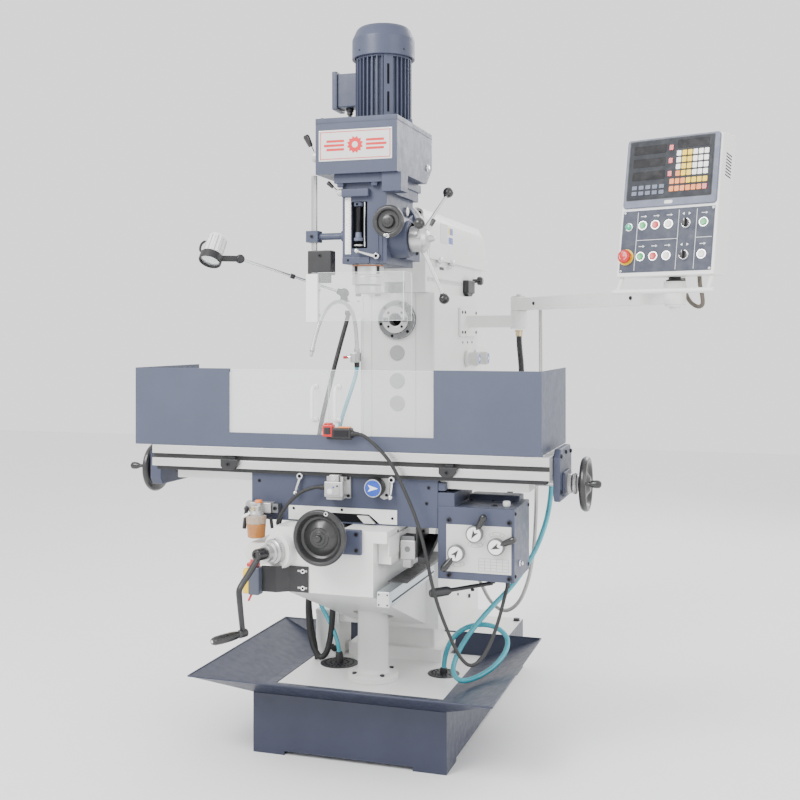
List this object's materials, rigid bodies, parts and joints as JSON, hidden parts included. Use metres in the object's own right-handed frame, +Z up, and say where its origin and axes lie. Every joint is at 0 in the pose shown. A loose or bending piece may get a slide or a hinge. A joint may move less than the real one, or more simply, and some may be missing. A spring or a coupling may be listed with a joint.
{
  "type": "vertical milling machine",
  "caption": "Knee-type universal milling machine: slotted table with splash guard, swivelling vertical head on a sliding ram, horizontal spindle and swing-out control pendant.",
  "frame": {"origin": "on the floor under the centre of the base, on the column's centre plane", "axes": "+X to the operator's right along the table, +Y back from the operator towards the column, +Z up"},
  "size_m": [1.8735, 1.7285, 2.3035],
  "materials": {
    "paint_blue": "satin slate-blue machine enamel",
    "paint_dark_blue": "satin dark slate-blue machine enamel",
    "paint_white": "satin off-white machine enamel",
    "ground_steel": "ground and machined steel",
    "bright_steel": "bright turned steel",
    "black_plastic": "black moulded phenolic",
    "clear_sheet": "clear polycarbonate",
    "amber_reservoir": "amber translucent plastic with oil",
    "red_plastic": "red moulded plastic",
    "green_plastic": "green moulded plastic",
    "white_plastic": "white moulded plastic",
    "hose_teal": "teal flexible drain hose",
    "cable_black": "black sheathed cable"
  },
  "bodies": {
    "root": {"base": "paint_dark_blue", "chip_pan": "paint_dark_blue", "column": "paint_white", "screw_pedestal": "paint_white", "electrical_cabinet": "paint_white", "pendant_bracket": "paint_white", "drain_hose": "hose_teal"},
    "knee": {"knee": "paint_white"},
    "elevating_screw": {"elevating_screw": "ground_steel"},
    "knee_crank": {"knee_crank": "black_plastic"},
    "cross_handwheel": {"cross_handwheel": "black_plastic"},
    "saddle": {"saddle": "paint_blue", "feed_gearbox": "paint_blue", "oiler": "amber_reservoir", "switch_cable": "cable_black"},
    "table": {"table": "ground_steel", "end_bracket_left": "paint_blue", "end_bracket_right": "paint_blue", "splash_guard": "paint_blue"},
    "longitudinal_screw": {"longitudinal_screw": "ground_steel", "handwheel_left": "black_plastic", "handwheel_right": "black_plastic"},
    "ram": {"ram": "paint_white"},
    "head": {"head_body": "paint_blue", "gear_housing": "paint_blue", "motor": "paint_blue"},
    "feed_lever_1": {"feed_lever_1": "black_plastic"},
    "feed_lever_2": {"feed_lever_2": "black_plastic"},
    "feed_lever_3": {"feed_lever_3": "black_plastic"},
    "table_lock_left": {"table_lock_left": "bright_steel"},
    "table_lock_right": {"table_lock_right": "bright_steel"},
    "feed_selector": {"feed_selector": "black_plastic"},
    "door_left": {"door_left": "clear_sheet"},
    "door_right": {"door_right": "clear_sheet"},
    "quill": {"quill": "bright_steel"},
    "spindle": {"spindle": "bright_steel"},
    "quill_feed_hub": {"quill_feed_hub": "ground_steel"},
    "fine_feed_wheel": {"fine_feed_wheel": "black_plastic"},
    "quill_lock_lever": {"quill_lock_lever": "bright_steel"},
    "speed_lever_upper": {"speed_lever_upper": "black_plastic"},
    "speed_lever_lower": {"speed_lever_lower": "black_plastic"},
    "cutter_shield": {"cutter_shield": "clear_sheet"},
    "horizontal_spindle": {"horizontal_spindle": "bright_steel"},
    "speed_knob_front": {"speed_knob_front": "black_plastic"},
    "speed_knob_rear": {"speed_knob_rear": "black_plastic"},
    "pendant_arm": {"pendant_arm": "paint_white"},
    "pendant_box": {"pendant_box": "paint_white"},
    "emergency_stop": {"emergency_stop": "red_plastic"},
    "button_1_green": {"button_1_green": "green_plastic"},
    "button_2_red": {"button_2_red": "red_plastic"},
    "button_3_white": {"button_3_white": "white_plastic"},
    "button_4_green": {"button_4_green": "green_plastic"},
    "button_5_green": {"button_5_green": "green_plastic"},
    "button_6_red": {"button_6_red": "red_plastic"},
    "button_7_white": {"button_7_white": "white_plastic"},
    "button_8_white": {"button_8_white": "white_plastic"},
    "selector_upper": {"selector_upper": "black_plastic"},
    "selector_lower": {"selector_lower": "black_plastic"},
    "lamp_arm": {"lamp_arm": "ground_steel"},
    "lamp_head": {"lamp_head": "paint_white"}
  },
  "joints": [
    {"name": "knee_lift", "type": "slide", "parent": "root", "child": "knee", "axis": [0, 0, 1], "range_m": [0, 0.28]},
    {"name": "knee_crank_turn", "type": "hinge", "parent": "knee", "child": "knee_crank", "pos_m": [0, -0.3, 0.657], "axis": [-0.3746, -0.9272, 0], "range_deg": [-20, 40340.16]},
    {"name": "elevating_screw_turn", "type": "hinge", "parent": "knee", "child": "elevating_screw", "pos_m": [0, -0.32, 0.5], "axis": [0, 0, 1], "range_deg": [-20, 20170.08]},
    {"name": "saddle_slide", "type": "slide", "parent": "knee", "child": "saddle", "axis": [0, 1, 0], "range_m": [-0.11, 0.12]},
    {"name": "cross_handwheel_turn", "type": "hinge", "parent": "knee", "child": "cross_handwheel", "pos_m": [0, -0.7, 0.717], "axis": [0, 1, 0], "range_deg": [-7923.96, 8644.32]},
    {"name": "table_slide", "type": "slide", "parent": "saddle", "child": "table", "axis": [1, 0, 0], "range_m": [-0.155, 0.25]},
    {"name": "longitudinal_screw_turn", "type": "hinge", "parent": "table", "child": "longitudinal_screw", "pos_m": [0, -0.4655, 0.858], "axis": [1, 0, 0], "range_deg": [-11165.58, 18009]},
    {"name": "ram_slide", "type": "slide", "parent": "root", "child": "ram", "axis": [0, 1, 0], "range_m": [-0.2, 0.15]},
    {"name": "head_swivel", "type": "hinge", "parent": "ram", "child": "head", "pos_m": [0, -0.098, 1.63], "axis": [0, 1, 0], "range_deg": [-45, 45]},
    {"name": "quill_feed_turn", "type": "hinge", "parent": "head", "child": "quill_feed_hub", "pos_m": [0.17, -0.37, 1.59], "axis": [-1, 0, 0], "range_deg": [-240, 0]},
    {"name": "quill_slide", "type": "slide", "parent": "head", "child": "quill", "axis": [0, 0, 1], "range_m": [-0.12, 0]},
    {"name": "spindle_spin", "type": "hinge", "parent": "quill", "child": "spindle", "pos_m": [0, -0.37, 1.45], "axis": [0, 0, 1], "continuous": true},
    {"name": "cutter_shield_swing", "type": "hinge", "parent": "head", "child": "cutter_shield", "pos_m": [-0.162, -0.42, 1.5], "axis": [0, 0, 1], "range_deg": [-100, 0]},
    {"name": "door_left_slide", "type": "slide", "parent": "table", "child": "door_left", "axis": [-1, 0, 0], "range_m": [0, 0.24]},
    {"name": "door_right_slide", "type": "slide", "parent": "table", "child": "door_right", "axis": [1, 0, 0], "range_m": [0, 0.24]},
    {"name": "pendant_arm_swing", "type": "hinge", "parent": "root", "child": "pendant_arm", "pos_m": [0.336, 0.358, 1.402], "axis": [0, 0, 1], "range_deg": [-15, 60]},
    {"name": "pendant_swivel", "type": "hinge", "parent": "pendant_arm", "child": "pendant_box", "pos_m": [0.95, -0.405, 1.45], "axis": [0, 0, 1], "range_deg": [-40, 60]},
    {"name": "horizontal_spindle_spin", "type": "hinge", "parent": "root", "child": "horizontal_spindle", "pos_m": [0, -0.068, 1.342], "axis": [0, 1, 0], "continuous": true},
    {"name": "lamp_arm_swing", "type": "hinge", "parent": "root", "child": "lamp_arm", "pos_m": [-0.2208, 0, 1.438], "axis": [0, 0, 1], "range_deg": [-70, 15]},
    {"name": "lamp_head_tilt", "type": "hinge", "parent": "lamp_arm", "child": "lamp_head", "pos_m": [-0.53, -0.2, 1.553], "axis": [0.5431, -0.8397, 0], "range_deg": [-40, 40]},
    {"name": "fine_feed_wheel_turn", "type": "hinge", "parent": "head", "child": "fine_feed_wheel", "pos_m": [0.1066, -0.47, 1.636], "axis": [0, 1, 0], "continuous": true},
    {"name": "quill_lock_turn", "type": "hinge", "parent": "head", "child": "quill_lock_lever", "pos_m": [0.056, -0.44, 1.534], "axis": [0, 1, 0], "range_deg": [-40, 30]},
    {"name": "speed_lever_upper_turn", "type": "hinge", "parent": "head", "child": "speed_lever_upper", "pos_m": [-0.1334, -0.45, 1.85], "axis": [1, 0, 0], "range_deg": [-50, 50]},
    {"name": "speed_lever_lower_turn", "type": "hinge", "parent": "head", "child": "speed_lever_lower", "pos_m": [-0.06, -0.425, 1.738], "axis": [1, 0, 0], "range_deg": [-35, 35]},
    {"name": "feed_lever_1_turn", "type": "hinge", "parent": "saddle", "child": "feed_lever_1", "pos_m": [0.408, -0.6, 0.722], "axis": [0, 1, 0], "range_deg": [-30, 30]},
    {"name": "feed_lever_2_turn", "type": "hinge", "parent": "saddle", "child": "feed_lever_2", "pos_m": [0.471, -0.6, 0.689], "axis": [0, 1, 0], "range_deg": [-30, 30]},
    {"name": "feed_lever_3_turn", "type": "hinge", "parent": "saddle", "child": "feed_lever_3", "pos_m": [0.354, -0.6, 0.664], "axis": [0, 1, 0], "range_deg": [-30, 30]},
    {"name": "table_lock_left_turn", "type": "hinge", "parent": "saddle", "child": "table_lock_left", "pos_m": [-0.132, -0.6, 0.866], "axis": [0, 1, 0], "range_deg": [-30, 30]},
    {"name": "table_lock_right_turn", "type": "hinge", "parent": "saddle", "child": "table_lock_right", "pos_m": [0.158, -0.6, 0.866], "axis": [0, 1, 0], "range_deg": [-40, 5]},
    {"name": "feed_selector_turn", "type": "hinge", "parent": "saddle", "child": "feed_selector", "pos_m": [0.11, -0.6, 0.843], "axis": [0, 1, 0], "range_deg": [-45, 45]},
    {"name": "speed_knob_front_turn", "type": "hinge", "parent": "root", "child": "speed_knob_front", "pos_m": [0.133, 0.36, 1.2], "axis": [1, 0, 0], "range_deg": [-120, 120]},
    {"name": "speed_knob_rear_turn", "type": "hinge", "parent": "root", "child": "speed_knob_rear", "pos_m": [0.133, 0.5, 1.2], "axis": [1, 0, 0], "range_deg": [-120, 120]},
    {"name": "emergency_stop_press", "type": "slide", "parent": "pendant_box", "child": "emergency_stop", "axis": [0.3346, 0.9251, -0.1794], "range_m": [0, 0.0045]},
    {"name": "selector_upper_turn", "type": "hinge", "parent": "pendant_box", "child": "selector_upper", "pos_m": [0.98571, -0.47181, 1.60519], "axis": [-0.3346, -0.9251, 0.1794], "range_deg": [-45, 45]},
    {"name": "selector_lower_turn", "type": "hinge", "parent": "pendant_box", "child": "selector_lower", "pos_m": [0.9801, -0.48733, 1.51468], "axis": [-0.3346, -0.9251, 0.1794], "range_deg": [-45, 45]},
    {"name": "button_1_green_press", "type": "slide", "parent": "pendant_box", "child": "button_1_green", "axis": [0.3346, 0.9251, -0.1794], "range_m": [0, 0.004], "stiffness_N_per_m": 400},
    {"name": "button_2_red_press", "type": "slide", "parent": "pendant_box", "child": "button_2_red", "axis": [0.3346, 0.9251, -0.1794], "range_m": [0, 0.004], "stiffness_N_per_m": 400},
    {"name": "button_3_white_press", "type": "slide", "parent": "pendant_box", "child": "button_3_white", "axis": [0.3346, 0.9251, -0.1794], "range_m": [0, 0.004], "stiffness_N_per_m": 400},
    {"name": "button_4_green_press", "type": "slide", "parent": "pendant_box", "child": "button_4_green", "axis": [0.3346, 0.9251, -0.1794], "range_m": [0, 0.004], "stiffness_N_per_m": 400},
    {"name": "button_5_green_press", "type": "slide", "parent": "pendant_box", "child": "button_5_green", "axis": [0.3346, 0.9251, -0.1794], "range_m": [0, 0.004], "stiffness_N_per_m": 400},
    {"name": "button_6_red_press", "type": "slide", "parent": "pendant_box", "child": "button_6_red", "axis": [0.3346, 0.9251, -0.1794], "range_m": [0, 0.004], "stiffness_N_per_m": 400},
    {"name": "button_7_white_press", "type": "slide", "parent": "pendant_box", "child": "button_7_white", "axis": [0.3346, 0.9251, -0.1794], "range_m": [0, 0.004], "stiffness_N_per_m": 400},
    {"name": "button_8_white_press", "type": "slide", "parent": "pendant_box", "child": "button_8_white", "axis": [0.3346, 0.9251, -0.1794], "range_m": [0, 0.004], "stiffness_N_per_m": 400}
  ],
  "couplings": [
    {"joint": "knee_crank_turn", "follows": "knee_lift", "rad_per_m": 2513.3},
    {"joint": "elevating_screw_turn", "follows": "knee_lift", "rad_per_m": 1256.6},
    {"joint": "cross_handwheel_turn", "follows": "saddle_slide", "rad_per_m": 1256.6},
    {"joint": "longitudinal_screw_turn", "follows": "table_slide", "rad_per_m": 1256.6},
    {"joint": "quill_slide", "follows": "quill_feed_turn", "m_per_rad": 0.028648}
  ]
}
